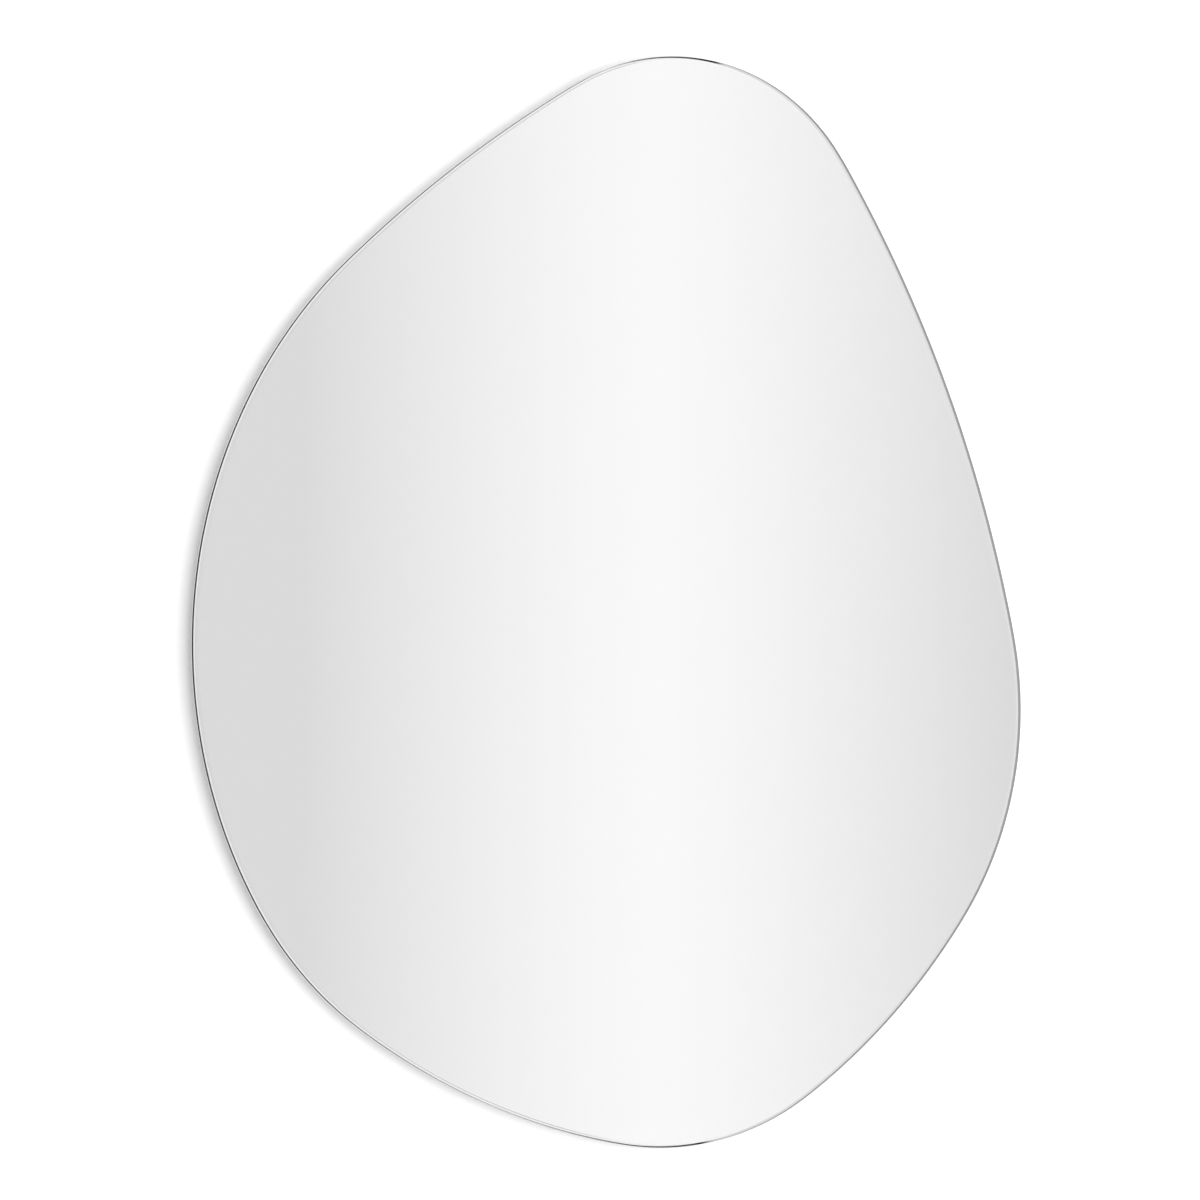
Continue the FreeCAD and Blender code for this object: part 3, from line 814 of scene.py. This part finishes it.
wall_paint, tree = new_material("wall_emulsion_white")
side = add(tree, "ShaderNodeNewGeometry")
ray = add(tree, "ShaderNodeLightPath")
matt = add(tree, "ShaderNodeBsdfDiffuse", {"Color": linear(WALL_WHITE)})
glow = add(tree, "ShaderNodeEmission", {"Color": linear("#FFFFFF"), "Strength": WALL_GLOW})
lit = add(tree, "ShaderNodeAddShader", {0: matt.outputs[0], 1: glow.outputs[0]})
plain = add(tree, "ShaderNodeEmission", {"Color": linear(WALL_IN_GLASS), "Strength": 1.0})
mirrored = add(tree, "ShaderNodeMath", {
    0: ray.outputs["Is Glossy Ray"], 1: ray.outputs["Is Transmission Ray"]}, operation="MAXIMUM")
front = add(tree, "ShaderNodeMixShader", {0: mirrored.outputs[0], 1: lit.outputs[0], 2: plain.outputs[0]})
clear = add(tree, "ShaderNodeBsdfTransparent")
finish_material(tree, add(tree, "ShaderNodeMixShader", {
    0: side.outputs["Backfacing"], 1: front.outputs[0], 2: clear.outputs[0]}))

bm = bmesh.new()
wall_corners = [Vector((x, 0, z)) * WALL_HALF_WIDTH for x, z in ((-1, -1), (1, -1), (1, 1), (-1, 1))]
wall_middle = Vector((0, WALL_BEHIND, glass_middle.z))
bm.faces.new([bm.verts.new(wall_middle + corner) for corner in wall_corners])
mesh = bpy.data.meshes.new("wall")
bm.to_mesh(mesh)
bm.free()
wall = bpy.data.objects.new("wall", mesh)
scene.collection.objects.link(wall)
mesh.materials.append(wall_paint)
wall.visible_shadow = False
wall.visible_diffuse = False
wall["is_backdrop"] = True
print("wall faces the room:", mesh.polygons[0].normal.y < 0)

# %% [markdown]
# ## Light
# One large soft lamp stands to the right, a little further round than the camera. It gives the thin shadow
# to the left of the mirror: the wider the lamp, the softer that shadow's edge. A second lamp lights only
# the back, for the views from behind.

# %% Lamps
def soft_lamp(name, azimuth, elevation, distance, width, height, power):
    """A rectangular lamp that faces the mirror. Azimuth is in degrees to the right of the mirror's front."""
    a, e = math.radians(azimuth), math.radians(elevation)
    outward = Vector((math.sin(a) * math.cos(e), -math.cos(a) * math.cos(e), math.sin(e)))
    lamp = bpy.data.objects.new(name, bpy.data.lights.new(name, "AREA"))
    scene.collection.objects.link(lamp)
    lamp.location = face_middle + outward * distance
    lamp.rotation_euler = outward.to_track_quat("Z", "Y").to_euler()
    lamp.data.shape = "RECTANGLE"
    lamp.data.size = width
    lamp.data.size_y = height
    lamp.data.energy = power
    lamp.visible_camera = False
    lamp.visible_glossy = False
    lamp.visible_transmission = False
    return lamp


key_lamp = soft_lamp("key_lamp", azimuth=42.5, elevation=0, distance=6.0, width=2.0, height=2.4, power=364)
back_lamp = soft_lamp("back_lamp", azimuth=205, elevation=30, distance=2.5, width=1.2, height=1.2, power=70)
seen_from_behind = bpy.data.collections.new("seen_from_behind")
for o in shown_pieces():
    if o is not pane:
        seen_from_behind.objects.link(o)
back_lamp.light_linking.receiver_collection = seen_from_behind
print("lamps", key_lamp.name, back_lamp.name)

# %% [markdown]
# ## The room in the mirror
# A mirror shows the room and nothing of its own, so here the room is the finish. The photographed glass
# shows a pale grey studio with one soft upright glow in it. The world gives that to reflected and refracted
# rays only: straight rays see plain white, and diffuse light comes from an even, dimmer room. Directions
# are turned into an azimuth, which grows to the left of someone who stands before the mirror and looks out,
# and an elevation.
#
# The polished arris looks much further round than the flat face, so it shows what the face doesn't: a
# second, wider glow far to the left, which the arris shows on the right side of the mirror, and the unlit
# floor and ceiling under and over the glow, which make the thin black lines along the very top and bottom.
# Two more glows stand where only other views look, one straight in front, so that the mirror reads as a
# mirror from there too.

# %% World
GLOW_AZIMUTH = 28.69
GLOW_HALF_WIDTH = 3.745
GLOW_POWER = 1.387
ROOM_GREY = 0.759
GLOW_RISE = 0.264
SIDE_AZIMUTH = 56.0
SIDE_HALF_WIDTH = 16.0
SIDE_RISE = 0.08
OTHER_AZIMUTHS = (0.5, -44.0)  # glows that only other views show
OTHER_HALF_WIDTH = 7.0
OTHER_RISE = 0.24
FLOOR_BELOW = (-20.3, -21.2)
CEILING_ABOVE = (21.0, 21.9)
UNLIT_LEFT_OF = (21.0, 28.0)
UNLIT_SHARE = 0.98
FALL_OFF = (22.0, 40.0)  # elevations between which the room gets darker
FALL_OFF_SHARE = 0.4
ROOM_LIGHT = 0.41
ROOM_LIGHT_LOST_UPWARD = 0.6

world = bpy.data.worlds.new("studio")
scene.world = world
world.use_nodes = True
tree = world.node_tree
tree.nodes.clear()


def maths(operation, *values):
    """A maths node's output."""
    return add(tree, "ShaderNodeMath", dict(enumerate(values)), operation=operation).outputs[0]


def step(value, start, end):
    """A smooth ramp from 0 to 1 between two values of an output."""
    return add(tree, "ShaderNodeMapRange", {"Value": value, "From Min": start, "From Max": end},
               interpolation_type="SMOOTHSTEP").outputs[0]


def away_from(middle, half_width):
    """How far the azimuth is from a middle: 0 there, and 1 at half a width or more."""
    offset = maths("ABSOLUTE", maths("SUBTRACT", azimuth, middle))
    return maths("MINIMUM", maths("DIVIDE", offset, half_width), 1.0)


direction = add(tree, "ShaderNodeTexCoord").outputs["Generated"]
parts = add(tree, "ShaderNodeSeparateXYZ", {0: direction})
azimuth = maths("DEGREES", maths("ARCTAN2", maths("MULTIPLY", parts.outputs["X"], -1.0),
                                 maths("MULTIPLY", parts.outputs["Y"], -1.0)))
elevation = maths("DEGREES", maths("ARCSINE", parts.outputs["Z"]))

hump = maths("SUBTRACT", 1.0, maths("POWER", away_from(GLOW_AZIMUTH, GLOW_HALF_WIDTH), GLOW_POWER))
level = maths("MULTIPLY_ADD", hump, GLOW_RISE, ROOM_GREY)
level = maths("MULTIPLY_ADD", step(away_from(SIDE_AZIMUTH, SIDE_HALF_WIDTH), 1.0, 0.0), SIDE_RISE, level)
for middle in OTHER_AZIMUTHS:
    level = maths("MULTIPLY_ADD", step(away_from(middle, OTHER_HALF_WIDTH), 1.0, 0.0), OTHER_RISE, level)
unlit = maths("MULTIPLY", step(azimuth, *UNLIT_LEFT_OF),
              maths("MAXIMUM", step(elevation, *FLOOR_BELOW), step(elevation, *CEILING_ABOVE)))
fall = step(maths("ABSOLUTE", elevation), *FALL_OFF)
seen = maths("MULTIPLY", level, maths("MULTIPLY_ADD", unlit, -UNLIT_SHARE, 1.0))
seen = maths("MULTIPLY", seen, maths("MULTIPLY_ADD", fall, -FALL_OFF_SHARE, 1.0))

steepness = maths("MULTIPLY", parts.outputs["Z"], parts.outputs["Z"])
even = maths("MULTIPLY_ADD", steepness, -ROOM_LIGHT * ROOM_LIGHT_LOST_UPWARD, ROOM_LIGHT)
ray = add(tree, "ShaderNodeLightPath")
is_seen = maths("MAXIMUM", ray.outputs["Is Glossy Ray"], ray.outputs["Is Transmission Ray"])
indirect = add(tree, "ShaderNodeMix", {0: is_seen, 2: even, 3: seen})
strength = add(tree, "ShaderNodeMix", {0: ray.outputs["Is Camera Ray"], 2: indirect.outputs[0], 3: 1.0})
background = add(tree, "ShaderNodeBackground", {"Color": linear("#FFFFFF"), "Strength": strength.outputs[0]})
add(tree, "ShaderNodeOutputWorld", {"Surface": background.outputs[0]})
print("world nodes", len(tree.nodes))

# %% [markdown]
# ## Sizes and the end
# The dressed mirror's box is measured against the imported model's, and how much it grew is printed.
# The dressed mirror has to be as large as the imported model.

# %% Measure both boxes and print the growth
visual_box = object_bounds()
growth = [(abs(v[i]) - abs(c[i])) / MM for c, v in zip(cad_box, visual_box) for i in range(3)]
print("growth in mm", [round(g, 2) for g in growth])
